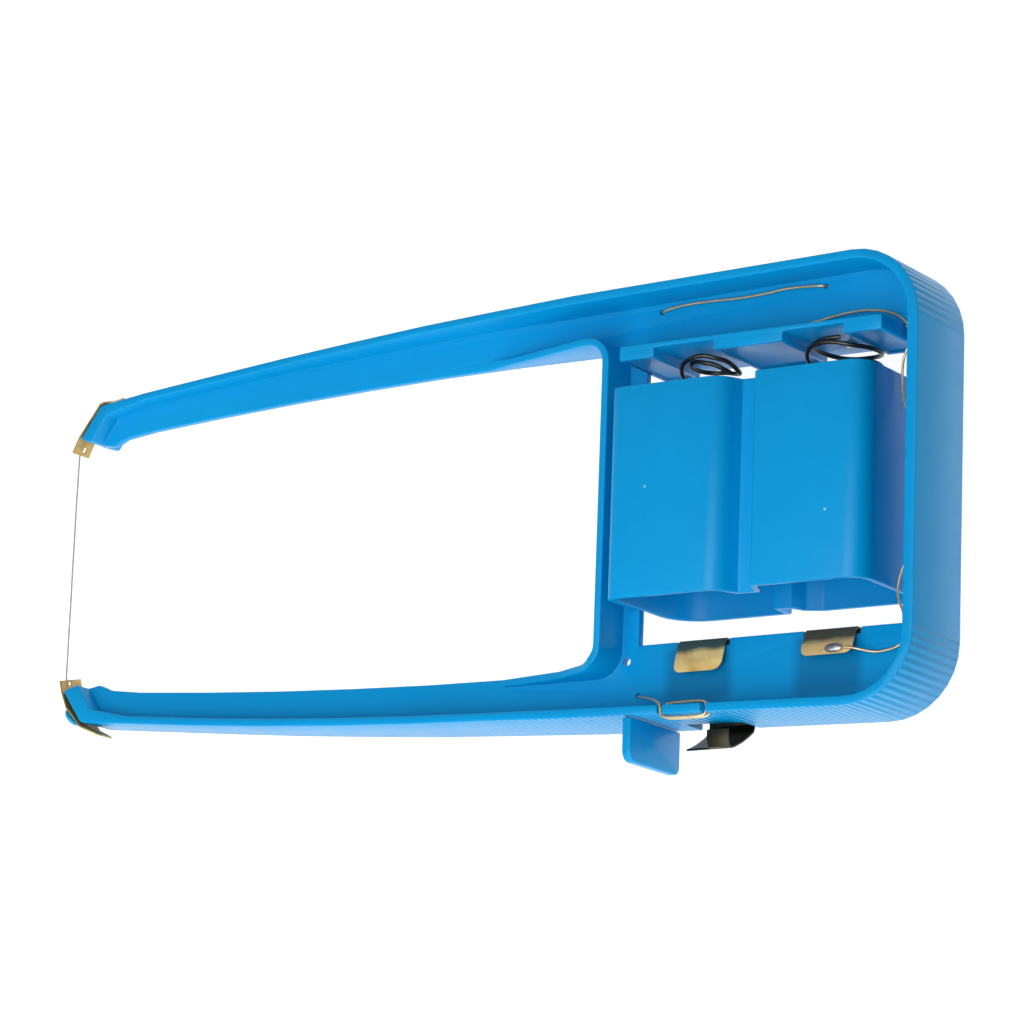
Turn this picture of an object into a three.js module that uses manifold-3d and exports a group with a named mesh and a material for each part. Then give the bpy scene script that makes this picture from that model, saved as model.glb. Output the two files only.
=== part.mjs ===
// Battery-powered hot-wire bow cutter for polystyrene foam.
// Millimetres. The bow lies flat: X runs from the wire at the tips towards the handle's closed end,
// Y runs across the bow from the switch side to the plain side, Z is up, through the moulding.
// Every piece is drawn about the middle of the handle's end face, on the moulding's parting plane,
// and the whole bow is then set down on the bench.
import * as THREE from "three";
import { mergeVertices } from "three/addons/utils/BufferGeometryUtils.js";
import Module from "manifold-3d";

const wasm = await Module();
wasm.setup();

// Bow moulding
const handleHalfWidth = 49;
const handleTaper = 0.0266;
const endWall = 2.6;
const sideWall = 2.0;
const armWall = 1.75;
const webHalf = 1.0;
const cornerRadius = 15.7;
const gap = 0.3;

// Half width of the outer wall and of the opening along the arms
const armOuter = [
  [-85, 46.75],
  [-105, 45.85],
  [-125, 45.0],
  [-145, 43.85],
  [-165, 42.5],
  [-185, 40.85],
  [-205, 39.0],
];
const slantedEnd = {
  plain: { corner: [-217.6, 37.4], end: [-223.1, 30.05] },
  switched: { corner: [-218.5, 37.8], end: [-223.9, 30.2] },
};
const armInner = [
  [-222.3, 29.4],
  [-217.0, 28.4],
  [-215.4, 29.0],
  [-213.4, 29.9],
  [-205, 30.95],
  [-185, 32.35],
  [-165, 33.5],
  [-145, 34.35],
  [-125, 34.95],
  [-105, 35.2],
];
const openingEnd = -76.9;
const openingHalf = 35.1;
const openingRadius = 4;

// Half depth of the walls along the bow, and height of the lip round the opening
const wallDepth = [
  [0, 10.6],
  [-85, 10.4],
  [-105, 9.85],
  [-125, 8.95],
  [-145, 7.8],
  [-165, 6.8],
  [-185, 6.0],
  [-205, 5.6],
  [-224, 5.3],
];
const lipWall = 1.7;
const lipHeightPlain = [
  [-74, 10.4],
  [-82, 10.4],
  [-112, webHalf],
];
const lipHeightSwitch = [
  [-74, 10.4],
  [-78, 10.4],
  [-89, 4.4],
  [-106, webHalf],
];

// Battery bay
const bayLeft = -71.1;
const bayBottom = -30.2;
const clipEdge = bayBottom - 1.45;
const springX = [-55.7, -23.0];
const railBottom = 30.2;
const railTop = 33.4;
const railPlate = 1.0;
const railDepth = 11.6;
const railLeft = -71.8;
const railRight = -8.0;
const sleeveSpan = [-22.7, 23.6];
const sleeveDepth = 14.7;

// Switch side
const slitLeft = [-60.5, -59.3];
const slitRight = [-49.9, -48.7];
const slitFloor = 6.6;
const leafLeft = -60.4;
const leafRight = -49.2;
const leafFold = -10.9;
const brass = 0.4;

// Terminals at the tips
const terminalLow = -2.7;
const terminalHigh = 5.3;
const eyeletInset = { plain: 1.5, switched: 1.9 };
const wireHeight = 1.8;
const stakeHeight = 1.6;
const terminalLine = {
  tip_terminal_plain: [
    [-225.3, 26.7],
    [-223.65, 30.2],
    [-218.05, 37.6],
    [-217.2, 38.05],
    [-214.2, 38.4],
    [-211.6, 39.3],
  ],
  tip_terminal_switch: [
    [-225.5, 25.6],
    [-224.4, 30.2],
    [-222.8, 34.0],
    [-218.7, 38.55],
    [-214.6, 40.5],
  ],
};

// Wires
const leadRadius = 0.3;
const leadHole = 0.62;
const hotWireRadius = 0.2;
const springWire = 0.5;

// Distance from the drawing origin to the middle of the footprint, on the bench
const bench = new THREE.Vector3(113.12, 4.21, sleeveDepth);

function finish(colour, roughness, metalness) {
  return new THREE.MeshStandardMaterial({ color: colour, roughness, metalness });
}

const bluePlastic = () => finish(0x1b98d5, 0.35, 0.0);
const brassSheet = () => finish(0xc9a557, 0.35, 1.0);
const brassWire = () => finish(0xb08a45, 0.35, 1.0);
const darkSteel = () => finish(0x5a5a50, 0.4, 1.0);
const solderAlloy = () => finish(0xc8c8c8, 0.3, 1.0);
const greyWire = () => finish(0xbdbdbd, 0.35, 1.0);

function solidFrom(geometry) {
  const plain = geometry.index ? geometry.toNonIndexed() : geometry.clone();
  plain.deleteAttribute("normal");
  plain.deleteAttribute("uv");
  const merged = mergeVertices(plain, 1e-4);
  return new wasm.Manifold(
    new wasm.Mesh({
      numProp: 3,
      vertProperties: new Float32Array(merged.attributes.position.array),
      triVerts: new Uint32Array(merged.index.array),
    }),
  );
}

function geometryFrom(solid) {
  const mesh = solid.getMesh();
  const positions = new Float32Array(mesh.numVert * 3);
  for (let i = 0; i < mesh.numVert; i++) {
    positions.set(mesh.vertProperties.subarray(i * mesh.numProp, i * mesh.numProp + 3), i * 3);
  }
  const geometry = new THREE.BufferGeometry();
  geometry.setAttribute("position", new THREE.BufferAttribute(positions, 3));
  geometry.setIndex(new THREE.BufferAttribute(new Uint32Array(mesh.triVerts), 1));
  geometry.computeVertexNormals();
  return geometry;
}

function piece(name, geometry, material) {
  const mesh = new THREE.Mesh(geometry, material);
  mesh.name = name;
  return mesh;
}

// A closed outline through [x, y, radius] corners, each radius drawn as an arc.
function roundedShape(corners, steps = 5) {
  const points = [];
  const count = corners.length;
  for (let i = 0; i < count; i++) {
    const [x, y, radius = 0] = corners[i];
    const here = new THREE.Vector2(x, y);
    if (radius < 1e-6) {
      points.push(here);
      continue;
    }
    const before = new THREE.Vector2(...corners[(i + count - 1) % count].slice(0, 2));
    const after = new THREE.Vector2(...corners[(i + 1) % count].slice(0, 2));
    const inward = before.sub(here).normalize();
    const outward = after.sub(here).normalize();
    const half = Math.acos(THREE.MathUtils.clamp(inward.dot(outward), -1, 1)) / 2;
    const reach = radius / Math.tan(half);
    const start = here.clone().addScaledVector(inward, reach);
    const end = here.clone().addScaledVector(outward, reach);
    const middle = inward.clone().add(outward).normalize();
    const centre = here.clone().addScaledVector(middle, radius / Math.sin(half));
    const from = Math.atan2(start.y - centre.y, start.x - centre.x);
    let sweep = Math.atan2(end.y - centre.y, end.x - centre.x) - from;
    if (sweep > Math.PI) sweep -= 2 * Math.PI;
    if (sweep < -Math.PI) sweep += 2 * Math.PI;
    for (let k = 0; k <= steps; k++) {
      const angle = from + (sweep * k) / steps;
      points.push(
        new THREE.Vector2(centre.x + radius * Math.cos(angle), centre.y + radius * Math.sin(angle)),
      );
    }
  }
  return new THREE.Shape(points);
}

// A flat outline in X and Y, thickened from one height to another.
function slab(shape, from, to) {
  const geometry = new THREE.ExtrudeGeometry(shape, { depth: to - from, bevelEnabled: false });
  geometry.translate(0, 0, from);
  return geometry;
}

// An outline in X and Z, carried across the bow from one Y to another.
function across(shape, from, to) {
  const geometry = new THREE.ExtrudeGeometry(shape, { depth: to - from, bevelEnabled: false });
  geometry.rotateX(Math.PI / 2);
  geometry.translate(0, to, 0);
  return geometry;
}

// An outline in Y and Z, carried along the bow from one X to another.
function along(shape, from, to) {
  const geometry = new THREE.ExtrudeGeometry(shape, { depth: to - from, bevelEnabled: false });
  geometry.applyMatrix4(new THREE.Matrix4().makeBasis(
    new THREE.Vector3(0, 1, 0),
    new THREE.Vector3(0, 0, 1),
    new THREE.Vector3(1, 0, 0),
  ));
  geometry.translate(from, 0, 0);
  return geometry;
}

function block(x0, x1, y0, y1, z0, z1) {
  const geometry = new THREE.BoxGeometry(x1 - x0, y1 - y0, z1 - z0);
  geometry.translate((x0 + x1) / 2, (y0 + y1) / 2, (z0 + z1) / 2);
  return geometry;
}

function drill(x, y, radius) {
  const geometry = new THREE.CylinderGeometry(radius, radius, 12, 12);
  geometry.rotateX(Math.PI / 2);
  geometry.translate(x, y, 0);
  return geometry;
}

function tube(points, radius, steps, sides = 8) {
  const ring = [];
  for (let i = 0; i < sides; i++) {
    const angle = (2 * Math.PI * i) / sides;
    ring.push(new THREE.Vector2(radius * Math.cos(angle), radius * Math.sin(angle)));
  }
  const path = new THREE.CatmullRomCurve3(points.map((p) => new THREE.Vector3(...p)));
  return new THREE.ExtrudeGeometry(new THREE.Shape(ring), { steps, extrudePath: path });
}

const mirrored = (points) => points.map(([x, y, radius]) => [x, -y, radius]).reverse();

const handleEdge = (x, inset = 0) => handleHalfWidth + handleTaper * x - inset;

// The wall's outline on one side of the bow, from the opening round the tip to the handle's corner.
const sideOutline = (tip) => [
  [openingEnd, openingHalf, openingRadius],
  ...armInner.slice().reverse(),
  tip.end,
  [...tip.corner, 2.2],
  ...armOuter.slice().reverse(),
  [0, handleHalfWidth, cornerRadius],
];

function bowOutline() {
  const plain = sideOutline(slantedEnd.plain);
  const switched = mirrored(sideOutline(slantedEnd.switched));
  return roundedShape([...plain, ...switched], 8);
}

// The hollow inside the walls, from tip to tip, closed across the middle of the bow.
function pocketOutline() {
  const inner = [
    [-226.5, 20],
    [-219.5, 29.4],
    [-215.6, 34.9, 1.2],
    ...armOuter
      .slice(1)
      .reverse()
      .map(([x, y]) => [x, y - armWall]),
    [-85, 46.75 - sideWall],
    [-endWall, handleEdge(-endWall, sideWall), cornerRadius - endWall],
  ];
  return roundedShape([...inner, ...mirrored(inner)], 8);
}

function depthProfile() {
  const upper = wallDepth.map(([x, z]) => [x, z]);
  const lower = wallDepth.map(([x, z]) => [x, -z]).reverse();
  return roundedShape([[4, wallDepth[0][1]], ...upper, ...lower, [4, -wallDepth[0][1]]]);
}

// The lip round the opening: an L on each side of it, falling away along the arm.
function lip(side) {
  const half = openingHalf;
  const outerCorner = [openingEnd + lipWall, half + lipWall, openingRadius + lipWall];
  const band = [
    [openingEnd, -0.01],
    [openingEnd, half, openingRadius],
    [-105, 35.2],
    [-125, 34.95],
    [-125, 34.95 + lipWall],
    [-105, 35.2 + lipWall],
    outerCorner,
    [openingEnd + lipWall, -0.01],
  ];
  const outline = side > 0 ? band : mirrored(band);
  const heights = side > 0 ? lipHeightPlain : lipHeightSwitch;
  const last = heights[heights.length - 1];
  const profile = roundedShape([
    ...heights,
    [last[0] - 30, 0.5],
    [last[0] - 30, 0],
    [heights[0][0], 0],
  ]);
  const wall = solidFrom(slab(roundedShape(outline, 8), 0, 12));
  return wall.intersect(solidFrom(across(profile, -60, 60)));
}

function bowFrame() {
  let body = solidFrom(slab(bowOutline(), -12, 12));
  body = body.intersect(solidFrom(across(depthProfile(), -60, 60)));
  const pocket = pocketOutline();
  body = body.subtract(solidFrom(slab(pocket, webHalf, 14)));
  body = body.subtract(solidFrom(slab(pocket, -14, -webHalf)));
  body = body.add(lip(1)).add(lip(-1));
  const cuts = [
    block(bayLeft, railRight + gap, bayBottom, railTop + gap, -14, 14),
    block(railRight, -endWall, bayBottom, railBottom, -2, 2),
    block(-61.5, -48.7, clipEdge, bayBottom + 1, -2, 2),
    block(-30.7, -17.3, clipEdge, bayBottom + 1, -2, 2),
    drill(-74.0, -33.5, 1.0),
    drill(-67.7, 43.2, leadHole),
    drill(-27.3, 44.3, leadHole),
    drill(-71.0, -41.2, leadHole),
    block(slitLeft[0], slitLeft[1], -52, -44, slitFloor, 14),
    block(slitRight[0], slitRight[1], -52, -44, slitFloor, 14),
    block(leafLeft - 0.9, leafRight + 1.6, -52, -44.6, -14, -3.4),
  ];
  for (const side of [1, -1]) {
    const exit = new THREE.CylinderGeometry(0.7, 0.7, 12, 10);
    exit.rotateZ(Math.PI / 2);
    exit.translate(-221, side * 33.0, -webHalf - gap - leadRadius);
    cuts.push(exit);
  }
  for (const cut of cuts) {
    body = body.subtract(solidFrom(cut));
  }
  return piece("bow_frame", geometryFrom(body), bluePlastic());
}

function fingerGuard() {
  const top = -handleEdge(-68) - gap;
  const shape = roundedShape([
    [top, -10.3],
    [top, 10.3],
    [-57, 10.3, 2.6],
    [-57, -10.3, 1.8],
  ]);
  return piece("finger_guard", along(shape, -68.9, -66.8), bluePlastic());
}

function springRail() {
  let rail = solidFrom(block(railLeft, railRight, railTop - railPlate, railTop, -railDepth, railDepth));
  const padDepth = -8.4;
  const pads = [
    [railLeft, -63.2],
    [-48.4, -31.6],
    [-17.1, railRight],
  ];
  for (const [left, right] of pads) {
    rail = rail.add(solidFrom(block(left, right, railBottom, railTop - 0.2, padDepth, railDepth)));
  }
  for (const [left, right] of pads) {
    const panel = block(left + 1.2, right - 1.2, railBottom - 1, railBottom + 0.5, padDepth + 1.4, railDepth - 1.4);
    rail = rail.subtract(solidFrom(panel));
  }
  const leadSlot = block(-23.2, -21.6, 31, 35, -2.6, -1.0);
  rail = rail.subtract(solidFrom(leadSlot));
  const clear = solidFrom(block(bayLeft - 1, bayLeft, railBottom - 1, railTop + 1, -1.3, 1.3));
  return piece("spring_rail", geometryFrom(rail.subtract(clear)), bluePlastic());
}

// Section of the double sleeve in X and Z: one hollow with a waist between the cells,
// where the near wall dips in a groove and the far wall is stepped.
function batterySleeve() {
  const outline = roundedShape([
    [-70.7, -sleeveDepth, 9],
    [-42.3, -sleeveDepth, 0.8],
    [-42.3, -9.6],
    [-40.2, -9.6],
    [-38.8, -12.6, 2],
    [-34.5, -sleeveDepth, 3],
    [-9.8, -sleeveDepth, 1.2],
    [-9.8, sleeveDepth, 4.8],
    [-36.2, sleeveDepth, 0.8],
    [-38.4, 9.2, 0.6],
    [-42.1, 9.4, 0.4],
    [-44.6, sleeveDepth, 5],
    [-72.1, sleeveDepth, 3],
    [-72.1, 2.2],
    [-71.7, webHalf + gap],
    [-70.7, webHalf + gap],
  ]);
  const hollow = roundedShape([
    [-69.3, -13.3, 7.6],
    [-43.7, -13.3, 0.6],
    [-43.7, -8.2, 0.4],
    [-39.2, -8.2, 0.4],
    [-37.7, -11.6, 1.4],
    [-34.2, -13.3, 1.8],
    [-11.2, -13.3, 0.8],
    [-11.2, 13.3, 3.4],
    [-35.3, 13.3, 0.4],
    [-37.5, 7.8, 0.4],
    [-43.1, 8.0, 0.6],
    [-45.5, 13.3, 3.6],
    [-70.2, 13.3, 2],
  ]);
  const sleeve = solidFrom(across(outline, ...sleeveSpan));
  const opened = sleeve.subtract(solidFrom(across(hollow, -30, 30)));
  return piece("battery_sleeve", geometryFrom(opened), bluePlastic());
}

// Compression spring, as [angle, radius, Y] round its axis: a slack turn under the rail,
// then a steep turn down to the closed one at the cell.
function springCoil(index, turns) {
  const points = [];
  const stepAngle = 15;
  for (let k = 1; k < turns.length; k++) {
    const [fromAngle, fromRadius, fromY] = turns[k - 1];
    const [toAngle, toRadius, toY] = turns[k];
    const steps = Math.max(1, Math.round((toAngle - fromAngle) / stepAngle));
    for (let i = k === 1 ? 0 : 1; i <= steps; i++) {
      const t = i / steps;
      const ease = t * t * (3 - 2 * t);
      const angle = THREE.MathUtils.degToRad(fromAngle + (toAngle - fromAngle) * t);
      const radius = fromRadius + (toRadius - fromRadius) * ease;
      points.push([
        springX[index] + radius * Math.cos(angle),
        fromY + (toY - fromY) * ease,
        radius * Math.sin(angle),
      ]);
    }
  }
  return tube(points, springWire, points.length * 2, 6);
}

function springEnd(index, height, radius) {
  const ring = new THREE.TorusGeometry(radius, springWire, 6, 24);
  ring.rotateX(Math.PI / 2);
  ring.translate(springX[index], height, 0);
  return ring;
}

// A strip bent to a line in X-Y or Y-Z, given as its centre line, with one thickness.
function bentStrip(points, thickness) {
  const left = [];
  const right = [];
  for (let i = 0; i < points.length; i++) {
    const here = new THREE.Vector2(...points[i]);
    const before = new THREE.Vector2(...points[Math.max(i - 1, 0)]);
    const after = new THREE.Vector2(...points[Math.min(i + 1, points.length - 1)]);
    const inDir = here.clone().sub(before);
    const outDir = after.clone().sub(here);
    if (i === 0) inDir.copy(outDir);
    if (i === points.length - 1) outDir.copy(inDir);
    inDir.normalize();
    outDir.normalize();
    const miter = inDir.clone().add(outDir).normalize();
    const normal = new THREE.Vector2(-miter.y, miter.x);
    const reach = thickness / 2 / Math.max(0.4, miter.dot(inDir));
    left.push(here.clone().addScaledVector(normal, reach));
    right.push(here.clone().addScaledVector(normal, -reach));
  }
  return new THREE.Shape([...left, ...right.reverse()]);
}

// Contact clips: a strip folded over the edge of the web, near leg flared away from it,
// with the leg's two corners rounded off.
function contactClip(name, clip) {
  const { left, right, nearEnd, farExtra, farEnd, corners } = clip;
  const line = [
    [nearEnd, 2.9],
    [nearEnd + 2.4, 2.5],
    [clipEdge - 0.6, 1.55],
    [clipEdge + 0.4, 1.3],
    [clipEdge + 1.37, 0.65],
    [clipEdge + 1.37, -0.65],
    [clipEdge + 0.4, -1.3],
    [clipEdge - 0.6, -1.55],
    [farEnd, -1.55],
  ];
  let strip = solidFrom(along(bentStrip(line, brass), left - farExtra, right + farExtra));
  strip = strip.subtract(solidFrom(block(left - 9, left, -45, clipEdge + 2, -1, 6)));
  strip = strip.subtract(solidFrom(block(right, right + 9, -45, clipEdge + 2, -1, 6)));
  const leg = roundedShape([
    [left, nearEnd, corners[0]],
    [right, nearEnd, corners[1]],
    [right, nearEnd + 4],
    [left, nearEnd + 4],
  ]);
  const around = block(left - 1, right + 1, nearEnd - 1, nearEnd + 3.9, 1.2, 5);
  const trim = solidFrom(around).subtract(solidFrom(slab(leg, 0, 7)));
  return piece(name, geometryFrom(strip.subtract(trim)), brassSheet());
}

// The first clip's far leg runs on to the wall and out to its rim, where the switch leaf is folded.
function switchStrip() {
  const line = [
    [-43.9, -1.6],
    [-44.5, -2.4],
    [-44.5, leafFold - 0.1],
  ];
  return piece("switch_strip", along(bentStrip(line, brass), leafLeft, leafRight), brassSheet());
}

function switchLeaf() {
  const line = [
    [-45.0, leafFold - 0.5],
    [-46.6, leafFold - 0.9],
    [-48.4, leafFold - 0.2],
    [-49.8, -9.0],
    [-51.4, -6.2],
    [-52.6, -3.6],
    [-53.1, -2.2],
  ];
  const flap = [
    [-52.6, -3.6],
    [-53.1, -2.2],
    [-52.9, -1.1],
    [-51.4, -0.5],
    [-49.4, -0.4],
  ];
  const leaf = solidFrom(along(bentStrip(line, brass), leafLeft, leafRight));
  const folded = solidFrom(along(bentStrip(flap, brass), -54.4, leafRight));
  return piece("switch_leaf", geometryFrom(leaf.add(folded)), brassSheet());
}

// Brass terminal outside an arm's slanted end: its outline in X-Y, then the shape of the sheet in X-Z.
function tipTerminal(name, side) {
  const line = terminalLine[name].map(([x, y]) => [x, side * y]);
  let strip = solidFrom(slab(bentStrip(line, brass), terminalLow, terminalHigh));
  const tail = new THREE.Shape(
    [
      [-219, terminalHigh + 1],
      [-217.6, terminalHigh],
      [-212.4, 3.4],
      [-215.0, -2.4],
      [-217.2, terminalLow],
      [-219, terminalLow - 1],
      [-205, terminalLow - 1],
      [-205, terminalHigh + 1],
    ].map(([x, z]) => new THREE.Vector2(x, z)),
  );
  strip = strip.subtract(solidFrom(across(tail, -60, 60)));
  if (side > 0) {
    strip = strip.subtract(solidFrom(block(-230, -221.8, 20, 30.1, terminalLow - 1, -0.6)));
  } else {
    const corner = new THREE.Shape([
      new THREE.Vector2(-25.7, terminalLow),
      new THREE.Vector2(-27.6, terminalHigh + 0.1),
      new THREE.Vector2(-20, terminalHigh + 0.1),
      new THREE.Vector2(-20, terminalLow),
    ]);
    strip = strip.subtract(solidFrom(along(corner, -230, -220)));
  }
  const inset = side > 0 ? eyeletInset.plain : eyeletInset.switched;
  const hole = solidFrom(eyelet(line[0], line[1], inset));
  const seat = tipAxis(new THREE.CylinderGeometry(1.35, 1.35, 8, 16), side, 1.5);
  return piece(name, geometryFrom(strip.subtract(hole).subtract(solidFrom(seat))), brassSheet());
}

// The wire's hole, square through the first stretch of the strip, near its end.
function eyelet(end, next, inset) {
  const run = new THREE.Vector2(...next).sub(new THREE.Vector2(...end)).normalize();
  const hole = new THREE.CylinderGeometry(0.68, 0.68, 3, 12);
  hole.rotateZ(Math.PI / 2);
  hole.rotateZ(Math.atan2(run.y, run.x) - Math.PI / 2);
  hole.translate(end[0] + run.x * inset, end[1] + run.y * inset, wireHeight);
  return hole;
}

// Turns a shape made along Y so that it stands square to an arm's slanted end, at its middle.
function tipAxis(geometry, side, offset) {
  const { corner: tipCorner, end: tipEnd } = side > 0 ? slantedEnd.plain : slantedEnd.switched;
  const run = new THREE.Vector2(tipCorner[0] - tipEnd[0], tipCorner[1] - tipEnd[1]).normalize();
  const out = new THREE.Vector2(-run.y, run.x);
  const middle = new THREE.Vector2(
    (tipCorner[0] + tipEnd[0]) / 2,
    (tipCorner[1] + tipEnd[1]) / 2,
  );
  geometry.rotateZ(Math.atan2(out.y, out.x) - Math.PI / 2);
  geometry.translate(middle.x + out.x * offset, middle.y + out.y * offset, stakeHeight);
  if (side < 0) geometry.rotateX(Math.PI);
  if (side < 0) geometry.translate(0, 0, 2 * stakeHeight);
  return geometry;
}

// Plastic stake that pins a terminal: a stem through the strip and a domed head outside it.
function terminalStake(name, side) {
  const reach = side > 0 ? 0.9 : 2.5;
  const profile = [
    [0, gap],
    [1.1, gap],
    [1.1, reach],
    [2.4, reach],
    [2.35, reach + 0.5],
    [1.9, reach + 1.0],
    [1.0, reach + 1.3],
    [0, reach + 1.35],
  ].map(([r, y]) => new THREE.Vector2(r, y));
  const stake = new THREE.LatheGeometry(profile, 18);
  return piece(name, tipAxis(stake, side, 0), bluePlastic());
}

// The resistance wire: it passes outside both terminals and hooks into their holes.
function hotWire() {
  const line = [
    [-224.78, 28.12],
    [-225.2, 28.36],
    [-225.66, 27.75],
    [-225.85, 26.6],
    [-225.75, 24],
    [-225.68, 12],
    [-225.6, 0],
    [-225.62, -12],
    [-225.72, -22],
    [-225.96, -25.2],
    [-225.9, -26.6],
    [-225.55, -27.75],
    [-225.0, -27.42],
  ].map(([x, y]) => [x, y, wireHeight]);
  return piece("hot_wire", tube(line, hotWireRadius, 110, 8), greyWire());
}

function lead(name, points, steps) {
  return piece(name, tube(points, leadRadius, steps, 6), brassWire());
}

const bow = new THREE.Group();
bow.position.copy(bench);
bow.add(bowFrame());
bow.add(fingerGuard());
bow.add(springRail());
bow.add(batterySleeve());

const springs = [
  {
    name: "spring_1",
    end: 5.8,
    turns: [
      [15, 6.0, 27.7],
      [60, 5.2, 29.3],
      [110, 4.4, 30.2],
      [180, 4.0, 29.8],
      [270, 5.0, 29.8],
      [345, 6.5, 28.4],
      [400, 6.4, 30.1],
      [440, 6.2, 30.9],
      [490, 6.1, 30.1],
      [540, 6.5, 28.0],
      [630, 6.3, 26.2],
      [720, 6.0, 25.7],
    ],
  },
  {
    name: "spring_2",
    end: 7.4,
    turns: [
      [70, 6.2, 31.2],
      [120, 6.4, 31.0],
      [180, 6.6, 30.6],
      [270, 7.4, 29.8],
      [360, 8.2, 28.9],
      [405, 8.0, 29.0],
      [450, 7.8, 29.9],
      [490, 7.8, 29.6],
      [540, 8.1, 28.0],
      [630, 8.2, 26.6],
      [720, 8.0, 26.2],
      [790, 7.6, 25.7],
    ],
  },
];
springs.forEach((spring, index) => {
  bow.add(piece(spring.name + "_coil", springCoil(index, spring.turns), darkSteel()));
  bow.add(piece(spring.name + "_end", springEnd(index, 24.4, spring.end), darkSteel()));
});

bow.add(contactClip("contact_clip_1", {
  left: -61.1, right: -49.4, nearEnd: -37.3, farExtra: 1.6, farEnd: -43.5, corners: [1.5, 2.4],
}));
bow.add(contactClip("contact_clip_2", {
  left: -30.3, right: -18.1, nearEnd: -36.0, farExtra: 1.2, farEnd: -43.6, corners: [1.4, 2.0],
}));
bow.add(switchStrip());
bow.add(switchLeaf());
bow.add(tipTerminal("tip_terminal_plain", 1));
bow.add(tipTerminal("tip_terminal_switch", -1));
bow.add(terminalStake("stake_plain", 1));
bow.add(terminalStake("stake_switch", -1));
bow.add(hotWire());

const onWeb = webHalf + leadRadius + gap;
bow.add(
  lead("lead_plain_near", [
    [-67.7, 43.2, -0.2],
    [-67.55, 43.22, 1.0],
    [-66.6, 43.3, onWeb],
    [-64.5, 43.75, onWeb],
    [-60.9, 44.05, onWeb],
    [-56.3, 44.15, onWeb],
    [-50.0, 43.95, onWeb],
    [-46.7, 43.95, onWeb],
    [-41.1, 44.2, onWeb],
    [-37.6, 44.6, onWeb],
    [-34.4, 44.7, onWeb],
    [-30.5, 44.5, onWeb],
    [-28.2, 44.35, onWeb],
    [-27.35, 44.3, 1.0],
    [-27.3, 44.3, -0.2],
  ], 40),
);
bow.add(
  lead("lead_plain_arm", [
    [-67.7, 43.2, -0.9],
    [-68.6, 43.1, -onWeb],
    [-78, 41.6, -onWeb],
    [-110, 40.6, -onWeb],
    [-150, 38.4, -onWeb],
    [-190, 35.6, -onWeb],
    [-212, 33.4, -onWeb],
    [-218.4, 33.0, -onWeb],
  ], 60),
);
bow.add(
  lead("lead_spring_drop", [
    [-27.3, 44.3, -0.9],
    [-27.1, 43.5, -onWeb],
    [-25.4, 38.6, -onWeb],
    [-22.6, 34.8, -1.8],
    [-22.4, 33.0, -1.8],
    [-22.4, 31.2, -1.6],
    [-21.6, 30.3, 0.2],
    [-20.9, 30.0, 2.4],
  ], 30),
);
bow.add(
  lead("lead_link", [
    [-50.0, 34.6, 2.3],
    [-40, 35.3, onWeb],
    [-29, 36.5, onWeb],
    [-23.4, 37.4, onWeb],
    [-17.5, 37.8, onWeb],
    [-11.5, 36.8, onWeb],
    [-7.6, 34.4, onWeb],
    [-6.4, 31.8, onWeb],
    [-6.8, 29.2, 1.4],
    [-8.5, 26.2, 0.9],
    [-8.8, 21.5, 0.6],
    [-8.5, 17.5, 0.6],
    [-6.6, 13, 0.6],
    [-6.2, 0, 0.6],
    [-6.4, -15, 0.6],
    [-8.4, -19.8, 0.6],
    [-9.0, -22.6, 0.6],
    [-8.7, -25.2, 0.8],
    [-6.9, -28.6, 1.4],
    [-6.4, -31.6, onWeb],
    [-6.6, -34.2, onWeb],
    [-8.6, -35.5, onWeb],
    [-10.9, -35.9, onWeb],
    [-13.4, -36.2, 1.8],
    [-16.4, -35.5, 2.9],
    [-18.4, -35.0, 3.4],
    [-19.8, -34.9, 3.5],
  ], 120),
);
bow.add(
  lead("lead_switch_arm", [
    [-71.0, -41.2, -0.9],
    [-71.8, -41.2, -onWeb],
    [-84, -40.9, -onWeb],
    [-110, -40.2, -onWeb],
    [-150, -38.2, -onWeb],
    [-190, -35.5, -onWeb],
    [-212, -33.4, -onWeb],
    [-218.4, -33.0, -onWeb],
  ], 60),
);

// The switch contact: a lead that rises from the web and is wound round the tooth in the rim.
const slotLeft = (slitLeft[0] + slitLeft[1]) / 2;
const slotRight = (slitRight[0] + slitRight[1]) / 2;
const strandIn = -44.9;
const strandOut = -48.2;
bow.add(
  lead("switch_contact", [
    [-71.0, -41.2, -0.2],
    [-70.9, -41.2, 1.0],
    [-69.8, -41.7, 2.2],
    [-65.2, -43.0, 6.4],
    [-61.2, -44.3, 9.6],
    [slotLeft, -45.5, 9.9],
    [slotLeft, -47.6, 9.8],
    [slotLeft + 0.9, strandOut, 9.7],
    [slotRight - 0.9, strandOut, 9.0],
    [slotRight, -47.6, 8.9],
    [slotRight, -45.6, 8.8],
    [slotRight - 0.9, strandIn, 8.7],
    [slotLeft + 0.9, strandIn, 8.5],
    [slotLeft, -45.5, 8.4],
    [slotLeft, -47.6, 8.3],
    [slotLeft + 0.9, strandOut, 8.2],
    [slotRight - 0.9, strandOut, 7.6],
    [slotRight, -47.6, 7.5],
    [slotRight, -45.6, 7.4],
    [slotRight - 0.9, strandIn, 7.4],
    [slotRight - 2.4, strandIn, 7.4],
  ], 130),
);

// Solder that holds the link lead to the second clip.
const bead = new THREE.SphereGeometry(1, 12, 8);
bead.scale(2.1, 0.9, 0.5);
bead.translate(-22.3, -34.9, 3.6);
bow.add(piece("solder_bead", bead, solderAlloy()));

export default bow;
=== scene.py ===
import math

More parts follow.
